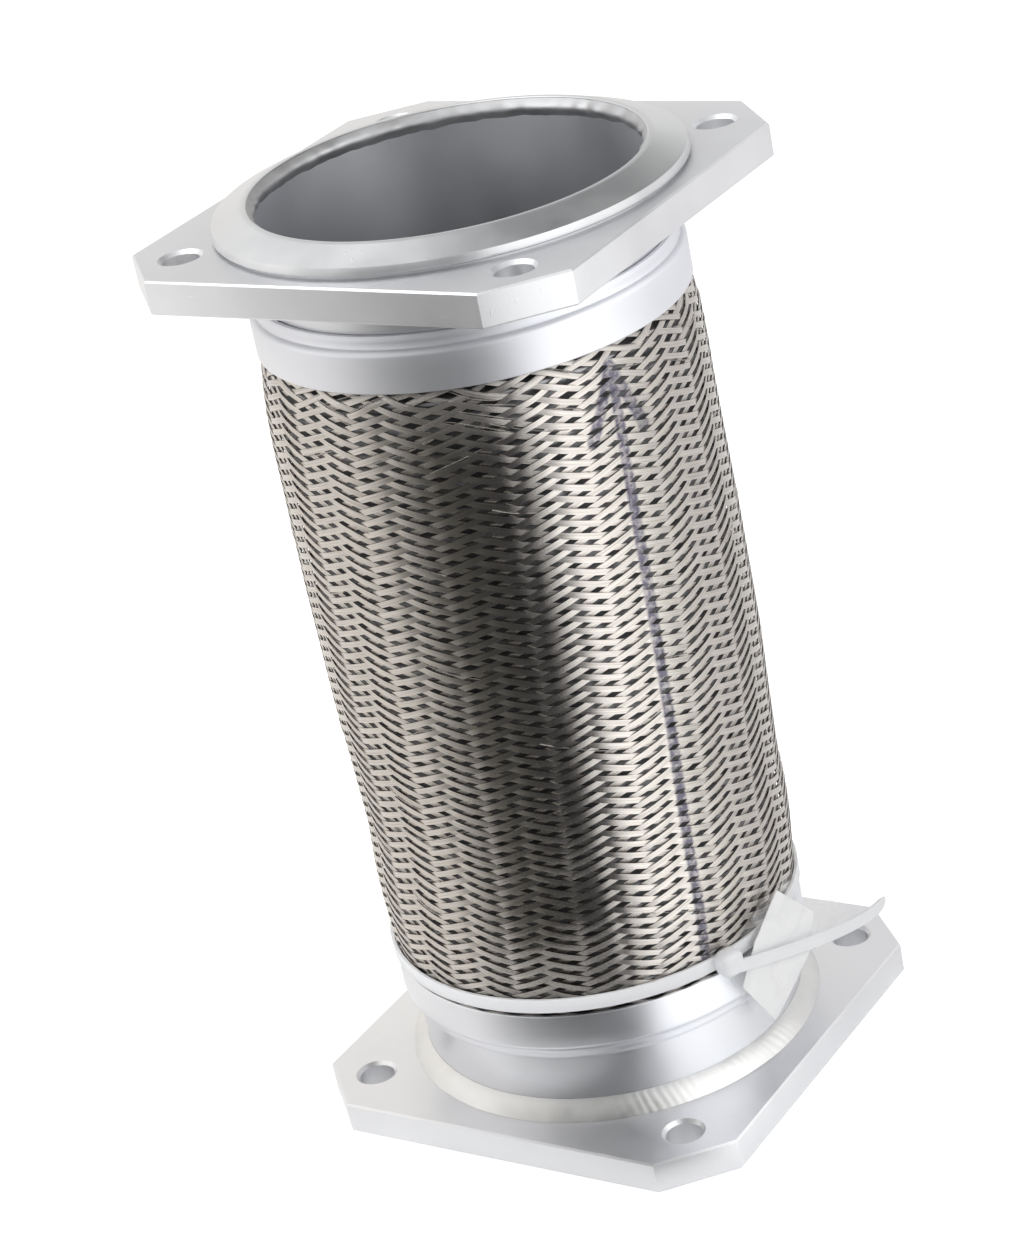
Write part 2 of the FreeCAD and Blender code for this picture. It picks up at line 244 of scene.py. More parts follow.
def tent_material():
    """Brightness by the turn round the pipe."""
    material, tree, shader = new_finish("tent_cloth", (0, 0, 0), 1.0, 0.0)
    x, y, z = split(tree, position(tree))
    turn = calc(tree, "ADD", calc(tree, "ARCTAN2", y, x),
                value_map(tree, z, turned_above, fully_above, 0, turned_by))
    ramp = add(tree, "ShaderNodeValToRGB",
               {"Fac": value_map(tree, turn, -math.pi, math.pi, 0, 1)})
    stops = ramp.color_ramp.elements
    stops[0].color, stops[1].color = (*cloth[0][1], 1), (*cloth[-1][1], 1)
    for degrees, colour in cloth[1:-1]:
        stops.new((degrees + 180) / 360).color = (*colour, 1)
    paler = value_map(tree, z, paler_above, fully_above, 0, paler_by)
    feed(tree, shader, {"Emission Color": tint(tree, paler, ramp.outputs[0], pale_cloth)})
    shader.inputs["Emission Strength"].default_value = cloth_glow
    return material


# %% [markdown]
# The mesh is a ring of faces on the floor and one of upright faces round it. It
# is turned so that the slot faces the camera.


# %% Pitching the tent
def tent(inner, radius, top, steps=96):
    """A ring of cloth on the floor that turns up into a wall."""
    floor = 0.0006
    points = []
    for k in range(steps):
        a = 2 * math.pi * k / steps
        points += [(r * math.cos(a), r * math.sin(a), z)
                   for r, z in ((inner, floor), (radius, floor), (radius, top))]
    faces = []
    for k in range(steps):
        here, there = 3 * k, 3 * ((k + 1) % steps)
        faces += [(here + n, there + n, there + n + 1, here + n + 1) for n in (0, 1)]
    mesh = bpy.data.meshes.new("tent")
    mesh.from_pydata(points, [], faces)
    mesh.materials.append(tent_material())
    wall = bpy.data.objects.new("tent", mesh)
    wall.rotation_euler.z = camera_turn
    bpy.context.scene.collection.objects.link(wall)
    wall.visible_camera = False
    wall.visible_diffuse = False
    wall.visible_shadow = False
    wall.visible_transmission = False


tent(inner=0.113, radius=0.135, top=0.360)
print("slot towards %.1f degrees" % math.degrees(camera_turn))

# %% [markdown]
# Three large lamps give the soft light. Their size matters more than their
# place: a large lamp has no hard highlight, and its shadow fades out. The top
# lamp stands on the camera's left, out of the direction that the front of the
# ring's cone mirrors.


# %% The lamps
def soft_lamp(name, place, target, size, power):
    data = bpy.data.lights.new(name, "AREA")
    data.shape = "RECTANGLE"
    data.size, data.size_y = size
    data.energy = power
    lamp = bpy.data.objects.new(name, data)
    lamp.location = place
    lamp.rotation_mode = "QUATERNION"
    lamp.rotation_quaternion = (Vector(target) - lamp.location).to_track_quat("-Z", "Y")
    bpy.context.scene.collection.objects.link(lamp)
    print(name, power, "W")


soft_lamp("left_lamp", (-0.9, -1.3, 1.1), (0, 0, 0.15), (0.9, 0.9), 8)
soft_lamp("right_lamp", (1.5, 0.2, 0.9), (0, 0, 0.15), (0.8, 0.9), 7)
soft_lamp("top_lamp", (-0.6, -0.4, 1.6), (0, 0, 0.2), (1.2, 1.2), 6)

# %% [markdown]
# ## Steel finishes
# The same steel looks different on each piece, because each was made in another
# way. One could paint these differences on images, but noise from nodes has no
# seams and stays sharp from close by. Low noise tints the metal and varies its
# roughness, and fine noise becomes a bump.
#
# The flanges come first. They were cut from plate and blasted, so they are
# satin with a fine grain, and a few long scratches run across them.


# %% Plate, for the flanges
def noise(tree, where, scale, detail=2.0, roughness=0.5):
    node = add(tree, "ShaderNodeTexNoise",
               {"Vector": where, "Scale": scale, "Detail": detail, "Roughness": roughness})
    return node.outputs["Fac"]


def stretched(tree, factors, turn=(0, 0, 0)):
    """The position, turned and then scaled along each axis."""
    return add(tree, "ShaderNodeMapping",
               {"Vector": position(tree), "Scale": factors, "Rotation": turn}).outputs[0]


def bump(tree, height, depth, strength=1.0, under=None):
    """A bump from a height, over another bump if one is given."""
    inputs = {"Height": height, "Distance": depth, "Strength": strength}
    if under is not None:
        inputs["Normal"] = under
    return add(tree, "ShaderNodeBump", inputs).outputs["Normal"]


def plate_finish():
    material, tree, shader = new_finish("blasted_plate", (0.78, 0.785, 0.81), 0.42)
    grain = noise(tree, position(tree), 1400, 3, 0.6)
    patches = noise(tree, position(tree), 28, 4, 0.55)
    marks = noise(tree, stretched(tree, (60, 900, 500), (0, 0, 0.6)), 1.0, 2, 0.6)
    scratches = value_map(tree, marks, 0.66, 0.72, 0, 1)
    feed(tree, shader, {
        "Base Color": tint(tree, patches, (0.70, 0.705, 0.73), (0.84, 0.845, 0.86)),
        "Roughness": value_map(tree, patches, 0.3, 0.7, 0.36, 0.5),
        "Normal": bump(tree, scratches, 0.00006, 0.6, bump(tree, grain, 0.00006, 0.6))})
    return material


plate = plate_finish()

# %% [markdown]
# The seal ring was turned on a lathe and then knocked about. Lathe marks are
# circles, so their noise depends only on the distance from the axis and on the
# height. The small dents come in groups: a fine noise makes them, and a slow
# one says where they are.


# %% Turned steel, for the ring
def ring_finish():
    material, tree, shader = new_finish("turned_ring", (0.74, 0.745, 0.76), 0.33)
    x, y, z = split(tree, position(tree))
    across = calc(tree, "ADD", calc(tree, "MULTIPLY", x, x), calc(tree, "MULTIPLY", y, y))
    round_about = add(tree, "ShaderNodeCombineXYZ", {0: calc(tree, "SQRT", across), 1: z})
    lathe_lines = noise(tree, round_about.outputs[0], 3500, 2, 0.7)
    patches = noise(tree, position(tree), 35, 4, 0.6)
    dents = value_map(tree, noise(tree, position(tree), 420, 3, 0.7), 0.66, 0.74, 0, 1)
    dents = calc(tree, "MULTIPLY", dents, value_map(tree, patches, 0.5, 0.6, 0, 1))
    feed(tree, shader, {
        "Base Color": tint(tree, patches, (0.60, 0.61, 0.63), (0.82, 0.825, 0.83)),
        "Roughness": value_map(tree, patches, 0.3, 0.7, 0.26, 0.42),
        "Normal": bump(tree, dents, 0.00012, 0.8, bump(tree, lathe_lines, 0.00002, 0.5))})
    return material


turned_steel = ring_finish()

# %% [markdown]
# The collars are rolled from thin sheet, which leaves fine lines round them.
# The lower one mirrors the studio more clearly than the upper one, so the same
# finish is made twice with another roughness.


# %% Rolled sheet, for the collars
def collar_finish(name, roughness):
    material, tree, shader = new_finish(name, (0.82, 0.83, 0.87), roughness)
    swell = noise(tree, stretched(tree, (1, 1, 1.5)), 26, 2, 0.4)
    lines = noise(tree, stretched(tree, (50, 50, 700)), 1.0, 3, 0.6)
    feed(tree, shader, {
        "Base Color": tint(tree, swell, (0.74, 0.755, 0.795), (0.86, 0.87, 0.905)),
        "Roughness": value_map(tree, swell, 0.2, 0.8, roughness - 0.04, roughness + 0.06),
        "Normal": bump(tree, lines, 0.00004, 0.4)})
    return material


bright_sheet = collar_finish("bright_sheet", 0.4)
matt_sheet = collar_finish("matt_sheet", 0.54)

# %% [markdown]
# The end pipes are drawn tube: smooth and dull, with a slow swell that bends
# their reflections a little and fine lines round them.


# %% Drawn tube, for the end pipes
def tube_finish():
    material, tree, shader = new_finish("drawn_tube", (0.74, 0.75, 0.78), 0.3)
    swell = noise(tree, stretched(tree, (1, 1, 0.6)), 18, 3, 0.5)
    lines = noise(tree, stretched(tree, (40, 40, 900)), 1.0, 3, 0.6)
    feed(tree, shader, {
        "Base Color": tint(tree, swell, (0.66, 0.67, 0.70), (0.82, 0.83, 0.86)),
        "Roughness": value_map(tree, swell, 0.3, 0.7, 0.3, 0.46),
        "Normal": bump(tree, lines, 0.00006, 0.5, bump(tree, swell, 0.0004, 0.3))})
    return material


drawn_tube = tube_finish()

# %% [markdown]
# Weld metal froze from a puddle, so it is brighter and smoother in some spots
# than in others. The bead inside the mouth is given a darker colour.


# %% Weld metal
def weld_finish(name, dark, light, roughness):
    material, tree, shader = new_finish(name, light, roughness)
    spots = noise(tree, position(tree), 120, 4, 0.6)
    feed(tree, shader, {
        "Base Color": tint(tree, spots, dark, light),
        "Roughness": value_map(tree, spots, 0.3, 0.7, roughness - 0.06, roughness + 0.1),
        "Normal": bump(tree, spots, 0.00012, 0.4)})
    return material


weld_metal = weld_finish("weld_metal", (0.66, 0.66, 0.655), (0.8, 0.8, 0.79), 0.46)
dull_weld = weld_finish("dull_weld", (0.38, 0.38, 0.385), (0.6, 0.605, 0.615), 0.5)

# %% [markdown]
# ## Turned pieces
# Pipes, collars, the ring and the welds are all round. A Screw modifier could
# turn their outlines, but then every copy of an outline would be the same, and
# a round piece made by hand is never quite even. So a helper walks the outline
# round the axis itself and can ask a rule how far to push each point.


# %% Helpers for turned pieces
def finished(name, mesh, node_name, material, body, sharp=38):
    """Shades a mesh, gives it its finish, and lets it stand for a solid."""
    mesh.polygons.foreach_set("use_smooth", [True] * len(mesh.polygons))
    mesh.set_sharp_from_angle(angle=math.radians(sharp))
    mesh.materials.append(material)
    piece = bpy.data.objects.new(name, mesh)
    bpy.context.scene.collection.objects.link(piece)
    if body:
        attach(piece, body)
    if node_name:
        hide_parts(node_name)
    print(name, len(mesh.polygons), "faces")
    return piece


def turned(name, outline, node_name, material, body, steps=240, push=None, sharp=38):
    """Closed outline (radius, height) in mm, turned round Z. push(turn, k) gives
    how far outline point k moves (outward, upward) at that turn, in mm."""
    count = len(outline)
    points = []
    for turn in np.linspace(0, 2 * math.pi, steps, endpoint=False):
        for k, (r, z) in enumerate(outline):
            if push:
                out, up = push(turn, k)
                r, z = r + out, z + up
            points.append((r * math.cos(turn) * MM, r * math.sin(turn) * MM, z * MM))
    faces = []
    for i in range(steps):
        here, there = i * count, (i + 1) % steps * count
        for k in range(count):
            n = (k + 1) % count
            faces.append((here + k, there + k, there + n, here + n))
    mesh = bpy.data.meshes.new(name)
    mesh.from_pydata(points, [], faces)
    return finished(name, mesh, node_name, material, body, sharp)


# %% [markdown]
# The two end pipes are plain tubes. Each stands in its flange with a small step
# back for the weld.

# %% The end pipes, with sizes from the solid model in mm
face_to_face = 308.6
pipe_r, bore_r = 65.0, 62.5


def pipe_outline(low, high):
    return [(bore_r, low), (pipe_r, low), (pipe_r, high), (bore_r, high)]


turned("lower_pipe", pipe_outline(2.5, 49.0), "bottom_end_pipe",
       drawn_tube, "lower_end")
turned("upper_pipe", pipe_outline(272.1, face_to_face + 4.5), "top_end_pipe",
       drawn_tube, "upper_end")

# %% [markdown]
# A collar is a strip of sheet, rolled over the ends of the bellows and the
# braid. It has a straight band, a round shoulder and a thin lip that lies on
# the pipe. The band comes out true, but the lip is hammered close by hand, so
# waves move it much more than the rest.

# %% The rolled collars
lower_rim, upper_rim = 51.1, 270.0
lip_points = range(9, 18)


def arc(centre_r, centre_z, radius, from_deg, to_deg, steps):
    """Points of an arc in an outline."""
    points = []
    for k in range(steps + 1):
        a = math.radians(from_deg + (to_deg - from_deg) * k / steps)
        points.append((centre_r + radius * math.cos(a), centre_z + radius * math.sin(a)))
    return points


def waves(turn, seed, terms, lowest=2, highest=9):
    """Slow random wave round the piece, between about -1 and 1."""
    maker = random.Random(seed)
    total = 0.0
    for _ in range(terms):
        n = maker.randint(lowest, highest)
        total += maker.uniform(0.5, 1) * math.sin(n * turn + maker.uniform(0, 6.28))
    return total / terms


def collar_outline(rim, way):
    """The straight band, the rolled shoulder and the thin lip on the pipe."""
    outer = [(67.6, 0.3), (67.9, 0), (68.9, 0), (69.2, 0.3), (69.2, 7.0)]
    outer += arc(67.0, 11.5, 2.2, 0, 80, 6)
    outer += [(67.05, 14.2), (67.0, 15.6), (66.9, 16.8), (66.5, 17.5), (65.3, 17.5), (65.25, 16.2)]
    inner = [(66.2, 14.6), (67.2, 13.2), (67.6, 12.0)]
    return [(r, rim + way * z) for r, z in outer + inner]


def collar_push(seed, way):
    def push(turn, k):
        share = 1.0 if k in lip_points else 0.15
        return (0.2 * share * waves(turn, seed, 5, 3, 17),
                way * 0.3 * share * waves(turn, seed + 1, 5, 2, 7))
    return push


turned("lower_collar", collar_outline(lower_rim, -1), "bottom_collar",
       bright_sheet, "lower_end", 300, collar_push(3, -1))
turned("upper_collar", collar_outline(upper_rim, 1), "top_collar",
       matt_sheet, "upper_end", 300, collar_push(8, 1))

# %% [markdown]
# The seal ring lies on the upper flange and presses on its neighbour with its
# sloping face. It was made on a machine, so nothing pushes its points. Its rim
# has a narrow chamfer, and a lower limit for sharp edges keeps that crisp.

# %% The seal ring
ring_outline = [
    (65.15, 0), (73.5, 0), (73.5, 1.0), (74.7, 1.0), (75.0, 1.3), (75.0, 2.1), (74.3, 3.7),
    (64.9, 7.3), (64.4, 7.5), (62.9, 7.5), (62.6, 7.3), (62.5, 4.7), (65.15, 4.7)]
turned("seal_ring_skin", [(r, face_to_face + z) for r, z in ring_outline],
       "seal_ring", turned_steel, "upper_end", 300, sharp=24)

# %% [markdown]
# ## Weld beads
# A hand-laid bead is a row of frozen puddles. Seen from close by it has
# ripples, and its width wanders. A bump in the finish would look flat against
# the light, so both come from pushing the outline of a turned ring: a fast wave
# makes the ripples, and slow ones are the hand. Most of the round was laid
# smoothly, and the ripples show only on the front right.

# %% The fillet welds on the flanges
flange_thick = 11.0
upper_flange = face_to_face - flange_thick
weld_gap = 0.05
leg = 5.6
ripples, ripple_depth = 150, 0.13
rippled_turn, rippled_reach, rippled_fade = -27, 40, 16


def fillet_outline(face, way):
    """A slightly bulging triangle in the corner of pipe and flange."""
    root = pipe_r + weld_gap
    points = [(root, weld_gap), (root + leg, weld_gap)]
    for k in range(1, 7):
        t = k / 7
        bulge = 1 + 0.12 * math.sin(math.pi * t)
        points.append((root + leg * (1 - t) * bulge, weld_gap + leg * t * bulge))
    points.append((root, leg))
    return [(r, face + way * z) for r, z in points]


def bead_push(seed, way):
    """Points 0 and 8 lie on the pipe and stay, and point 1 stays on the flange."""
    def push(turn, k):
        if k in (0, 8):
            return (0.0, 0.0)
        away = abs((math.degrees(turn) - rippled_turn + 180) % 360 - 180)
        strong = max(0.0, min(1.0, (rippled_reach - away) / rippled_fade))
        strong *= 0.6 + 0.4 * waves(turn, seed + 5, 3, 9, 31)
        uneven = 1.3 * waves(turn, seed + 9, 5, 11, 47)
        crest = abs(math.sin(ripples * turn / 2 + 0.42 * k + uneven)) - 0.6
        ripple = ripple_depth * strong * crest
        wander = 0.16 * waves(turn, seed, 5, 4, 23)
        lifts = 0.0 if k == 1 else way
        return (ripple + wander,
                lifts * (ripple * 0.7 + 0.2 * waves(turn, seed + 2, 4, 5, 19)))
    return push


turned("lower_fillet_bead", fillet_outline(flange_thick, 1), "bottom_flange_weld",
       weld_metal, "lower_end", 900, bead_push(21, 1))
turned("upper_fillet_bead", fillet_outline(upper_flange, -1), "top_flange_weld",
       weld_metal, "upper_end", 900, bead_push(27, -1))

# %% [markdown]
# The bead inside the mouth joins the pipe's end to the ring. It was laid from
# above into a narrow groove and is the roughest of all, with lumps on its belly
# and a ragged lower edge. The one under the foot is hidden and stays plain.

# %% The weld inside the mouth and the one under the foot
mouth_steps = 8
mouth_r, mouth_belly, mouth_low, mouth_rise = 62.45, 1.9, 309.9, 6.0


def mouth_push(turn, k):
    """Lumps on the bead's belly, and a ragged edge on the pipe's side."""
    t = k / mouth_steps
    belly = math.sin(math.pi * t)
    lump = 0.9 * waves(turn, 43, 7, 9, 41) + 0.5 * waves(turn, 47, 6, 23, 67)
    ragged = 0.8 * waves(turn, 41, 6, 7, 37) + 0.3 * waves(turn, 49, 5, 40, 90)
    return (-lump * belly, ragged * (1 - t) + 0.3 * lump * belly)


mouth_outline = []
for k in range(mouth_steps + 1):
    t = k / mouth_steps
    mouth_outline.append((mouth_r - mouth_belly * math.sin(math.pi * t) + 0.35 * t ** 3,
                          mouth_low + mouth_rise * t))
turned("mouth_bead", mouth_outline, "seal_ring_weld",
       dull_weld, "upper_end", 720, mouth_push)
turned("foot_bead", [(62.5, 2.4), (63.0, 1.2), (63.9, 0.4), (65.05, 0.3), (65.05, 2.4)],
       "bottom_face_weld", weld_metal, "lower_end", 360)

# %% [markdown]
# ## The flanges
# The solid plates already have their cut corners, chamfered edges and
# countersunk holes. Building them again would gain nothing, so they stay as
# they are and only get the plate finish.

# %% Finishing the flanges
for name in ("bottom_flange", "top_flange"):
    nodes[name].data.materials.clear()
    nodes[name].data.materials.append(plate)
    print(name, "in", plate.name)

# %% [markdown]
# ## The bellows
# Under the braid is a thin corrugated tube. It shows only as something dark and
# ribbed through the gaps of the weave and deep inside the mouth, but without it
# one would look right through the weave. Its outline is a row of half circles,
# walked once outside the sheet and once back inside it. It belongs to neither
# end.

# %% Making the bellows
ribs = 24
cuff = 11
middle_r, half_wall = 65.55, 0.25


def bellows_outline():
    low, high = 49.75, 271.35
    pitch = (high - low - 2 * half_wall) / (ribs + 0.5)
    bend = pitch / 4
    root, crest = 61.75 + bend, 66.85 - bend
    first = low + half_wall + bend
    skins = []
    for side in (half_wall, -half_wall):
        skin = [(middle_r + side, low - cuff), (middle_r + side, first - bend + side)]
        for k in range(ribs + 1):
            z = first + k * pitch
            skin += arc(root, z, bend - side, 270, 90, 5)
            if k < ribs:
                skin += arc(crest, z + pitch / 2, bend + side, -90, 90, 5)
        skin += [(middle_r + side, first + ribs * pitch + bend - side),
                 (middle_r + side, high + cuff)]
        skins.append(skin)
    return skins[0] + skins[1][::-1]


# Painted shade: the sheet is much darker than the other steels and stands in for the shade under
# the braid.
formed_sheet, tree, shader = new_finish("formed_sheet", (0.42, 0.42, 0.43), 0.4)
feed(tree, shader, {
    "Normal": bump(tree, noise(tree, position(tree), 300, 3), 0.0001, 0.5),
    "Base Color": tint(tree, noise(tree, position(tree), 40, 3),
                       (0.3, 0.3, 0.31), (0.5, 0.5, 0.51))})
bellows = turned("bellows_skin", bellows_outline(), "bellows", formed_sheet, None,
                 96)
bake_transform(bellows)

# %% [markdown]
# ## The braid
# The braid is woven from 72 flat strands, 36 climbing each way, and each strand
# is seven thin wires side by side. A strand goes over two others and then under
# two. The places where two strands cross stand above each other in upright
# columns. A strand that climbs to the right is on top in two columns, and in the
# next two the other set is on top. That makes the herringbone.
#
# One could bend one strand and copy it, but then the weave would look like a
# printed pattern. Here every strand follows the same rule on its own, with its
# own small errors, and its height over the wall comes from the columns that it
# passes. Near the upper collar the strands are looser.

# %% The rule of the weave
strands = 36
wall_r = 70.2
climb = {1: 139.7, -1: 144.0}
rise = {way: climb[way] / (2 * math.pi * wall_r) for way in climb}
pitch = {way: climb[way] / strands for way in climb}
low_end, high_end = 42.0, 278.0
point_step = 1.54
lift_over = 0.35
loose_from, loose_fully = 252, 268


def over_or_under(column):
    """1 where the right-climbing strand is on top, -1 where it is below."""
    return np.tanh(1.2 * np.cos(math.pi / 2 * (column - 0.5))) / 0.834


def wobble(along, seed, size, length):
    """Slow random change along a strand."""
    maker = np.random.default_rng(seed)
    total = np.zeros_like(along)
    for _ in range(4):
        total += np.sin(along * 2 * math.pi / (length * maker.uniform(0.6, 1.8))
                        + maker.uniform(0, 6.28))
    return size * total / 2


def strand_line(way, index):
    """Way round, height, and place over the wall of one strand's middle, in mm."""
    from_x = (low_end - index * pitch[way]) / rise[way]
    to_x = (high_end - index * pitch[way]) / rise[way]
    if way < 0:
        from_x, to_x = -to_x, -from_x
    x = np.arange(from_x, to_x, point_step)
    z = way * x * rise[way] + index * pitch[way]
    other = (z + way * x * rise[-way]) / pitch[-way]
    column = (other - index) if way > 0 else (index - other)
    height = way * over_or_under(column) * lift_over
    seed = 1000 + way * 100 + index
    loose = np.clip((z - loose_from) / (loose_fully - loose_from), 0, 1)
    z = z + wobble(x, seed, 0.13, 40) + loose * wobble(x, seed + 500, 0.5, 30)
    return x, z, height


print("%d + %d strands, %.2f mm apart" % (strands, strands, pitch[1]))

# %% [markdown]
# The braid isn't a true cylinder. It comes out of both collars with a flare,
# has a slight waist, and leans a little, as soft things do. A table of radii
# over the height gives the flare and the waist, and a slow sine the lean.

# %% The shape of the wall
outline_z = [40, 49.5, 52.5, 57.5, 64, 77, 86, 101, 125, 147, 169, 190, 222, 245,
             258, 266, 270, 280]
outline_r = [66.7, 66.7, 68.1, 68.2, 68.9, 69.7, 69.7, 69.0, 69.7, 70.5, 70.6, 70.7, 70.3,
             70.2, 69.6, 68.6, 66.9, 66.7]


def wall_radius(z, turn):
    lean = 0.55 * np.sin((z - 180) / 55) * np.cos(turn - math.radians(30))
    free = np.clip((z - 60) / 30, 0, 1) * np.clip((262 - z) / 25, 0, 1)
    return np.interp(z, outline_z, outline_r) - lean * free


print("widest %.1f mm, narrowest %.1f mm" % (max(outline_r), min(outline_r)))

# %% [markdown]
# A strand is a flat ribbon with upright edges, and its wires are fine lines in
# its finish. It leans a little as it dives under the next strand, and that lean
# gives the weave its sparkle: where one set leans towards the light, the other
# leans away. Each ribbon carries a UV map, u across it and v along it, because
# the finish has to know where the wires run.

# %% From a line to a ribbon
flat_strand = ((-0.5, -0.26), (-0.5, 0.0), (0.0, 0.03), (0.5, 0.0), (0.5, -0.26))


def ribbon(way, line, width, section, mark):
    """Points, faces and u-v of one ribbon. The mark shifts its v."""
    x, z, height = line
    count = len(section)
    slope = way * rise[way]
    along = np.array([1, slope]) / math.hypot(1, slope)
    across = np.array([-along[1], along[0]])
    rows = []
    for u, lift in section:
        zz = z + u * width * across[1]
        tt = (x + u * width * across[0]) / wall_r
        r = wall_radius(zz, tt) + height + lift
        rows.append(np.stack([r * np.cos(tt), r * np.sin(tt), zz], 1) * MM)
    points = np.stack(rows, 1).reshape(-1, 3)
    n = len(x)
    base = (np.arange(n - 1)[:, None] * count + np.arange(count - 1)[None, :]).reshape(-1)
    faces = np.stack([base, base + 1, base + count + 1, base + count], 1)
    if way < 0:
        faces = faces[:, ::-1]
    u = np.tile(np.array([0.5 + at for at, _ in section]), n)
    v = np.repeat(x / 20.0 + mark, count)
    return points, faces, np.stack([u, v], 1)


# %% [markdown]
# All ribbons of a group go into one mesh, and they go there as whole arrays.
# Adding 72 objects point by point would take far longer.


# %% From ribbons to a mesh
def braid_mesh(name, ribbons, material):
    """One piece from many ribbons."""
    points, faces, uvs, start = [], [], [], 0
    for p, f, uv in ribbons:
        points.append(p)
        faces.append(f + start)
        uvs.append(uv)
        start += len(p)
    points, faces, uvs = np.concatenate(points), np.concatenate(faces), np.concatenate(uvs)
    mesh = bpy.data.meshes.new(name)
    mesh.vertices.add(len(points))
    mesh.vertices.foreach_set("co", points.astype(np.float32).ravel())
    mesh.loops.add(faces.size)
    mesh.loops.foreach_set("vertex_index", faces.astype(np.int32).ravel())
    mesh.polygons.add(len(faces))
    mesh.polygons.foreach_set("loop_start", np.arange(0, faces.size, 4, dtype=np.int32))
    mesh.update(calc_edges=True)
    layer = mesh.uv_layers.new(name="strand")
    layer.data.foreach_set("uv", uvs[faces.ravel()].astype(np.float32).ravel())
    piece = finished(name, mesh, None, material, None, 70)
    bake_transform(piece)
    return piece


# %% [markdown]
# A marker pen left a hand-drawn arrow on the weave. Ink lies on the steel and
# follows every strand, so it isn't a piece but a mask over the finish: three
# lines, measured on the unrolled wall and broken up by noise, because a pen
# skips over a weave.


# %% The marker's arrow
def ink_line(tree, around, height, start, end, width):
    """1 on a line from start to end, each (turn in degrees, height in mm)."""
    x0, z0 = math.radians(start[0]) * wall_r * MM, start[1] * MM
    x1, z1 = math.radians(end[0]) * wall_r * MM, end[1] * MM
    length = math.hypot(x1 - x0, z1 - z0)
    ux, uz = (x1 - x0) / length, (z1 - z0) / length
    dx = calc(tree, "SUBTRACT", around, x0)
    dz = calc(tree, "SUBTRACT", height, z0)
    t = calc(tree, "ADD", calc(tree, "MULTIPLY", dx, ux), calc(tree, "MULTIPLY", dz, uz))
    t = value_map(tree, t, 0, length, 0, length)
    off_x = calc(tree, "SUBTRACT", dx, calc(tree, "MULTIPLY", t, ux))
    off_z = calc(tree, "SUBTRACT", dz, calc(tree, "MULTIPLY", t, uz))
    off = calc(tree, "SQRT", calc(tree, "ADD", calc(tree, "MULTIPLY", off_x, off_x),
                                  calc(tree, "MULTIPLY", off_z, off_z)))
    return value_map(tree, off, width * 0.35 * MM, width * 0.6 * MM, 1, 0)


def ink_mask(tree):
    """A long shaft and two barbs, all from the tip."""
    x, y, height = split(tree, position(tree))
    around = calc(tree, "MULTIPLY", calc(tree, "ARCTAN2", y, x), wall_r * MM)
    tip, foot = (-22.8, 264.0), (-26.8, 59.0)
    shaft_width, barb_width = 3.8, 4.2
    marks = ink_line(tree, around, height, tip, foot, shaft_width)
    for barb in ((-31.5, 243.0), (-16.0, 242.0)):
        marks = calc(tree, "MAXIMUM", marks,
                     ink_line(tree, around, height, tip, barb, barb_width))
    skips = noise(tree, position(tree), 420, 3, 0.6)
    return calc(tree, "MULTIPLY", marks, value_map(tree, skips, 0.36, 0.56, 0.4, 0.85))


# %% [markdown]
# The wires are bare stainless steel. Seven wires per strand would be far too
# many faces, so the strand's own u coordinate makes them: a cosine of it is the
# groove between two wires, and its rounded value numbers them, which gives each
# wire its own tone along its length. The groove is a bump and also painted
# shade: its colour is darkened between the wires.

# %% Wire finish
wires = 7


def wire_finish():
    material, tree, shader = new_finish("braid_wire", (0.66, 0.62, 0.58), 0.2)
    across, along, _ = split(tree, add(tree, "ShaderNodeUVMap", uv_map="strand").outputs[0])
    wire = calc(tree, "MULTIPLY", across, wires)
    between = calc(tree, "COSINE", calc(tree, "MULTIPLY", wire, 2 * math.pi))
    number = calc(tree, "MULTIPLY", calc(tree, "ROUND", wire), 3.7)
    where = add(tree, "ShaderNodeCombineXYZ", {0: number, 1: along}).outputs[0]
    # Painted shade: the groove between two wires is darkened in the colour, more in some places
    # along the wire than in others.
    groove_shade_depth = value_map(tree, noise(tree, where, 1.6, 1, 0.5), 0.5, 0.62, 0.28, 0.85)
    groove_shade = calc(tree, "MULTIPLY", value_map(tree, between, 0.55, 1.0, 0, 1), groove_shade_depth)
    ink = ink_mask(tree)
    bare = tint(tree, noise(tree, where, 0.5, 3, 0.6), (0.42, 0.39, 0.36), (0.86, 0.82, 0.775))
    with_groove_shade = tint(tree, groove_shade, bare, (0.16, 0.15, 0.14))
    dull = value_map(tree, noise(tree, position(tree), 60, 4, 0.6), 0.3, 0.7, 0.15, 0.24)
    feed(tree, shader, {
        "Base Color": tint(tree, ink, with_groove_shade, (0.07, 0.065, 0.12)),
        "Roughness": calc(tree, "ADD", dull, calc(tree, "MULTIPLY", ink, 0.25)),
        "Normal": bump(tree, between, -0.000025, 0.6)})
    return material


braid_wire = wire_finish()

# %% [markdown]
# Now the weave can be made, in four groups of strands for each way, and the
# solid braid is hidden.

# %% Weaving
strand_width = 1.94
groups = 4
per_group = strands // groups


def strand(way, index):
    """One strand, a little narrower where the braid is loose."""
    x, z, height = strand_line(way, index)
    width = strand_width * (1 + wobble(x, 77 + index + 50 * way, 0.04, 30))
    width = width * (1 - 0.1 * np.clip((z - 235) / 25, 0, 1))
    return ribbon(way, (x, z, height), width, flat_strand, index * 7.3)


for way, side in ((1, "right"), (-1, "left")):
    for part in range(groups):
        ribbons = [strand(way, index)
                   for index in range(part * per_group, (part + 1) * per_group)]
        braid_mesh("braid_%s_%d" % (side, part), ribbons, braid_wire)
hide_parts("braid")

# %% [markdown]
# On a used braid single wires have come loose. Each leaves the edge of its
# strand, bows out and comes back to it, and a third of them sit near the upper
# collar, where the weave opens.

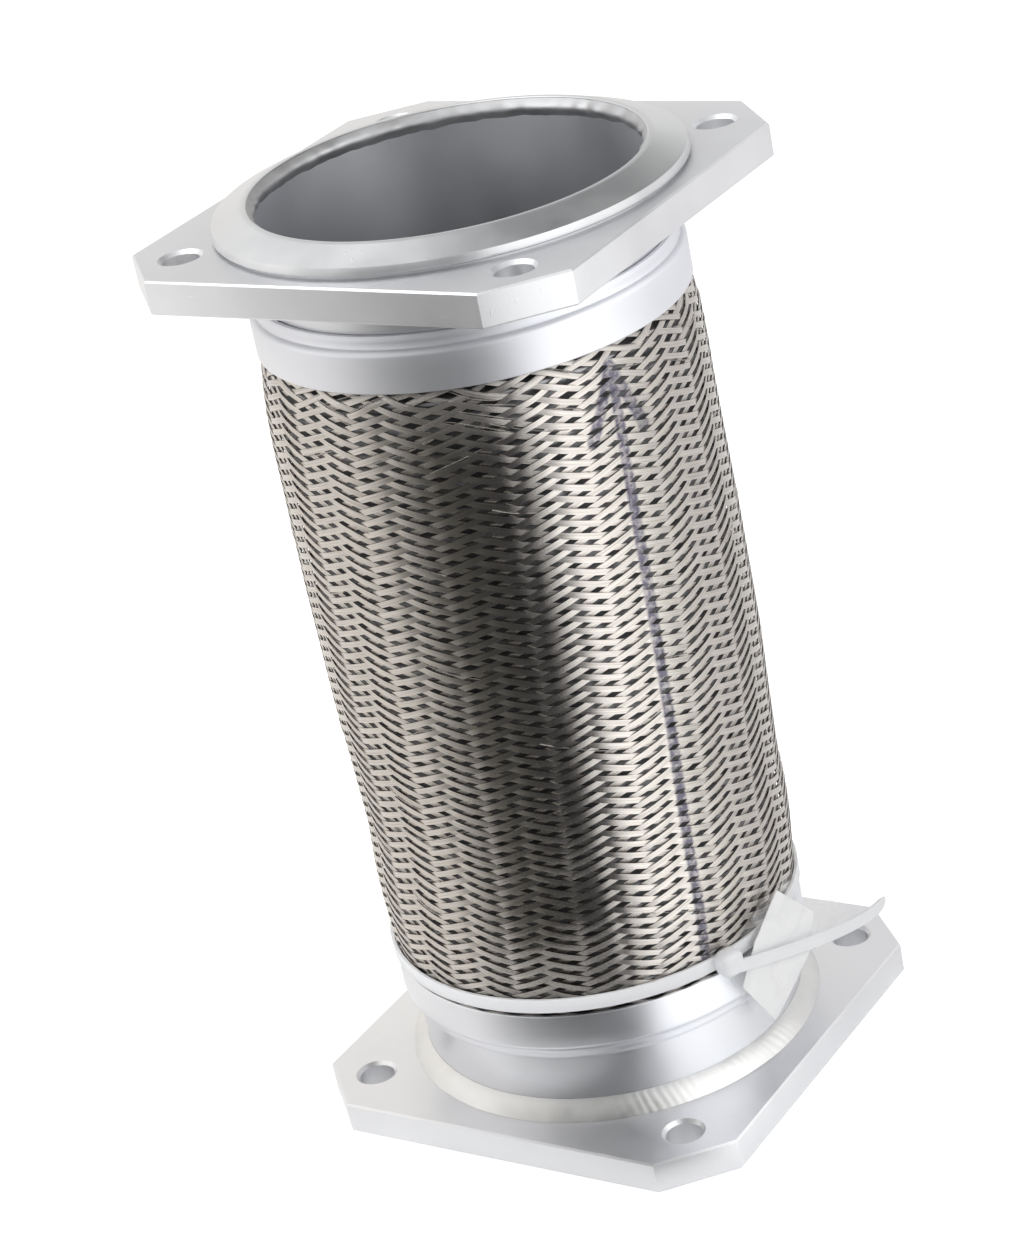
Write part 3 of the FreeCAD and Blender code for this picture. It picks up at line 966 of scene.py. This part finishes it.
# %% Loose wires
wire_width = 0.34
open_low, open_high = 250, 266
single_wire = ((-0.5, -0.1), (-0.3, 0.06), (0.0, 0.14), (0.3, 0.06), (0.5, -0.1))


def loose_wires(count, seed):
    maker = np.random.default_rng(seed)
    ribbons = []
    for n in range(count):
        way = 1 if n % 2 else -1
        x, z, height = strand_line(way, int(maker.integers(0, strands)))
        if n < count // 3:
            fits = np.flatnonzero((z > open_low) & (z < open_high))
            start = int(maker.choice(fits)) - 6
        else:
            start = int(maker.integers(12, len(x) - 40))
        start = max(start, 0)
        part = slice(start, start + int(maker.integers(9, 20)))
        x, z, height = x[part], z[part], height[part]
        bow = np.sin(math.pi * np.linspace(0, 1, len(x)))
        side = maker.choice([-1, 1])
        z = z + side * (1.0 + maker.uniform(0.3, 1.1) * bow)
        ribbons.append(ribbon(way, (x, z, height + 0.05 + 0.1 * bow), wire_width,
                              single_wire, n))
    return ribbons


braid_mesh("loose_wires", loose_wires(110, 5), braid_wire)

# %% [markdown]
# ## The cable tie
# The tie is nylon: white, slightly see-through, and dull. Some light enters it
# and comes out beside, which the shader's subsurface part does, and a faint
# cloud of noise keeps it from looking painted.

# %% Nylon
nylon, tree, shader = new_finish("nylon", (0.93, 0.945, 0.97), 0.4, 0.0)
shader.inputs["Subsurface Weight"].default_value = 0.25
shader.inputs["Subsurface Radius"].default_value = (0.004, 0.004, 0.004)
cloud = noise(tree, position(tree), 120, 3)
feed(tree, shader, {
    "Base Color": tint(tree, cloud, (0.9, 0.915, 0.95), (0.97, 0.98, 1.0)),
    "Normal": bump(tree, cloud, 0.0002, 0.3)})

# %% [markdown]
# Its band lies round the foot of the braid. It is one more turned piece, and a
# tie pulled tight by hand never sits level, so a cosine tilts it.

# %% The band
band_z = lower_rim + 1.7
band_section = [(68.7, 0.3), (68.9, 0), (69.8, 0), (70.0, 0.3),
                (70.0, 4.5), (69.8, 4.8), (68.9, 4.8), (68.7, 4.5)]


def band_push(turn, k):
    """The band sits a little higher on the head's side."""
    return (0.0, 0.5 * math.cos(turn + math.radians(20)))


turned("tie_band", [(r, band_z + z) for r, z in band_section],
       "cable_tie", nylon, "lower_end", 240, band_push)

# %% [markdown]
# The head and the spare end are swept: a section with soft corners is carried
# along a path, and neighbouring sections are joined. A curve object with a
# bevel could do that too, but here each section may have its own size. The
# head's section swells out of the band and closes again, which makes a rounded
# box of it.


# %% The head
def swept(name, sections, outward, sharp):
    """Closed skin through a row of sections, each a ring of points in metres."""
    count, way = len(sections[0]), 1 if outward else -1
    faces = []
    for i in range(len(sections) - 1):
        here, there = i * count, (i + 1) * count
        for k in range(count):
            n = (k + 1) % count
            face = (here + k, here + n, there + n, there + k)
            faces.append(face if outward else (face[0], face[3], face[2], face[1]))
    last = (len(sections) - 1) * count
    faces += [tuple(range(count))[::-way], tuple(range(last, last + count))[::way]]
    mesh = bpy.data.meshes.new(name)
    mesh.from_pydata([point for section in sections for point in section], [], faces)
    finished(name, mesh, None, nylon, "lower_end", sharp)


def rounded(width, height, radius):
    """Rectangle with round corners."""
    x, y = width / 2 - radius, height / 2 - radius
    corners = ((x, -y, -90), (x, y, 0), (-x, y, 90), (-x, -y, 180))
    return [point for cx, cy, start in corners
            for point in arc(cx, cy, radius, start, start + 90, 5)]


head_turn = math.radians(-22)
head_r, head_z = 69.5, band_z + 2.9
head_width, head_height, head_corner = 8.4, 8.6, 2.6
out_of_head = Vector((math.cos(head_turn), math.sin(head_turn), 0))
along_head = Vector((-math.sin(head_turn), math.cos(head_turn), 0))
upward = Vector((0, 0, 1))
head_sections = []
for step, shrink in ((0, 1.7), (0.25, 0.9), (0.8, 0.3), (1.6, 0), (4.6, 0), (5.7, 0.25),
                     (6.5, 0.9), (6.9, 1.7), (7.04, 2.4)):
    p = out_of_head * (head_r + step) + upward * head_z
    section = rounded(head_width - 2 * shrink, head_height - 2 * shrink,
                      max(0.6, head_corner - shrink))
    head_sections.append([(p + along_head * a + upward * b) * MM for a, b in section])
swept("tie_head", head_sections, True, 60)

# %% [markdown]
# The spare end leaves the head, crosses the pouch and points away from the
# pipe. A curve through three points gives its path, and the section narrows
# towards the tip.

# %% The spare end
tag_turn = math.radians(-8)
tag_out = Vector((math.cos(tag_turn), math.sin(tag_turn), 0))
tag_along = Vector((-math.sin(tag_turn), math.cos(tag_turn), 0))
tail_start = out_of_head * 75.34 + upward * 54.7
tail_cross = tag_out * 75.1 + tag_along * 19.8 + upward * 42.5
tail_tip = tag_out * 70.6 + tag_along * 66.2 + upward * 31.4
tail_steps = 40
tail_width, tail_thick, tip_thick = 4.4, 1.2, 0.8


def eased(width, height, ease):
    """Rectangle with its corners cut."""
    x, y = width / 2, height / 2
    return [(x - ease, -y), (x, ease - y), (x, y - ease), (x - ease, y),
            (ease - x, y), (-x, y - ease), (-x, ease - y), (ease - x, -y)]


def through(t, first, middle, last, at=0.34):
    """Point of the smooth curve through three points."""
    a = (t - at) * (t - 1) / at
    b = t * (t - 1) / (at * (at - 1))
    c = t * (t - at) / (1 - at)
    return first * a + middle * b + last * c


tail_path = [through(k / tail_steps, tail_start, tail_cross, tail_tip)
             for k in range(tail_steps + 1)]
tail_sections = []
for k, p in enumerate(tail_path):
    ahead = (tail_path[min(k + 1, tail_steps)] - tail_path[max(k - 1, 0)]).normalized()
    side = ahead.cross(upward).normalized()
    up = side.cross(ahead)
    left = (tail_steps - k) / tail_steps
    width = tail_width * min(1, 0.5 + 4.5 * left)
    thick = tail_thick if left > 0.03 else tip_thick
    tail_sections.append([(p + side * a + up * b) * MM for a, b in eased(thick, width, 0.25)])
swept("tie_tail", tail_sections, False, 30)

# %% [markdown]
# ## The pouch and its card
# The tie carries a small bag of clear film with a card in it. Cloth simulation
# could crease the film, but a few sines do it too and take no time. Both hang
# tilted in front of the pipe, so their places are given in a tilted plane, and
# their outlines are a few corners that are eased into soft ones.

# %% The tilted plane and soft outlines
tag_tilt, tag_r, tag_z = math.radians(30), 72.1, 49


def tag_point(u, v, out):
    """A point of the tag's tilted plane, in metres, from places in mm."""
    s = u * math.cos(tag_tilt) - v * math.sin(tag_tilt)
    z = tag_z + u * math.sin(tag_tilt) + v * math.cos(tag_tilt)
    return (tag_out * (tag_r + out) + tag_along * s + upward * z) * MM


def even_outline(corners, count, ease):
    """Points at even steps along a closed outline, with its corners eased."""
    corners = [Vector(c) for c in corners]
    sides = [(corners[i - 1], corners[i]) for i in range(len(corners))]
    whole = sum((b - a).length for a, b in sides)
    points = []
    for k in range(count):
        left = whole * k / count
        for a, b in sides:
            if left <= (b - a).length:
                points.append(a.lerp(b, left / (b - a).length))
                break
            left -= (b - a).length
    for _ in range(ease):
        points = [(points[i - 1] + points[i] * 2 + points[(i + 1) % count]) / 4
                  for i in range(count)]
    return points


# %% [markdown]
# A flat piece of any outline is built as rings round its middle, on both sides,
# so that a rule can bend it everywhere.


# %% A helper for thin pieces
def thin_piece(name, corners, node_name, material, thickness, lift, ease=2):
    """thickness(s) goes from the middle, s = 0, to the rim, and lift(u, v) bends it."""
    count, rings = 96, 14
    outline = even_outline(corners, count, ease)
    middle = sum(outline, Vector((0, 0))) / count
    points = []
    for side in (1, -1):
        points.append(tag_point(*middle, lift(*middle) + side * thickness(0) / 2))
        for ring in range(1, rings + 1):
            s = ring / rings
            for p in outline:
                u, v = middle.lerp(p, s)
                points.append(tag_point(u, v, lift(u, v) + side * thickness(s) / 2))
    faces, back = [], 1 + rings * count
    for start, way in ((0, 1), (back, -1)):
        for k in range(count):
            n = (k + 1) % count
            faces.append((start, start + 1 + k, start + 1 + n)[::way])
            for ring in range(rings - 1):
                a = start + 1 + ring * count
                faces.append((a + k, a + count + k, a + count + n, a + n)[::way])
    rim = 1 + (rings - 1) * count
    for k in range(count):
        n = (k + 1) % count
        faces.append((rim + k, back + rim + k, back + rim + n, rim + n))
    mesh = bpy.data.meshes.new(name)
    mesh.from_pydata(points, [], faces)
    finished(name, mesh, node_name, material, "lower_end", 60)


# %% [markdown]
# Clear film is hardly there: what one sees are its folds and its gloss. So its
# alpha is low, and rises only where a noise passes its middle value, which
# draws thin winding lines. The bag reaches well past the card on one side, and
# the sines grow there.

# %% The pouch
film, tree, shader = new_finish("clear_film", (0.95, 0.955, 0.97), 0.14, 0.0)
crease = noise(tree, position(tree), 42, 2, 0.45)
folds = calc(tree, "MULTIPLY", value_map(tree, crease, 0.44, 0.5, 0, 1),
             value_map(tree, crease, 0.5, 0.56, 1, 0))
feed(tree, shader, {"Alpha": value_map(tree, folds, 0, 1, 0.07, 0.24),
                    "Normal": bump(tree, crease, 0.0006, 0.4)})
bag_corners = [(-16.1, 12.1), (-7.6, 17.6), (9.4, 15.7), (28.9, 6.7), (31.4, -2.8), (33.2, -27.9),
               (28, -27.2), (12.1, -22.4), (-15.9, -19.8), (-18.7, -18.8)]


def soft_bend(u, v):
    return 0.5 * math.sin(u / 9 + 0.6) * math.cos(v / 11) + 0.25 * math.sin((u + v) / 5)


def creased(u, v):
    far = max(0, u - 14) / 18
    return soft_bend(u, v) + far * (0.9 * math.sin(v / 2.6 + u / 7) + 0.7 * math.sin(u / 2.2))


thin_piece("pouch", bag_corners, "tag_pouch", film,
           lambda s: 1.5 * (1 - s ** 6) + 0.12, creased)

# %% [markdown]
# The card is plain white with a little fibre in it. It bends with the bag, so
# it takes the same soft bend without the creases, and its corners stay sharp.

# %% The card
paper, tree, shader = new_finish("card", (0.95, 0.955, 0.965), 0.55, 0.0)
fibre = noise(tree, position(tree), 700, 3, 0.6)
feed(tree, shader, {
    "Base Color": tint(tree, fibre, (0.97, 0.975, 0.985), (1.0, 1.0, 1.0)),
    "Normal": bump(tree, fibre, 0.00003, 0.3)})
card_thick = 0.3
card_corners = [(17.8, 11.1), (23, -12), (13.5, -20.9), (-14.3, -20.2), (-14.8, 2.9), (-1.1, 9.7)]
thin_piece("card", card_corners, "tag_card", paper, lambda s: card_thick, soft_bend,
           ease=0)
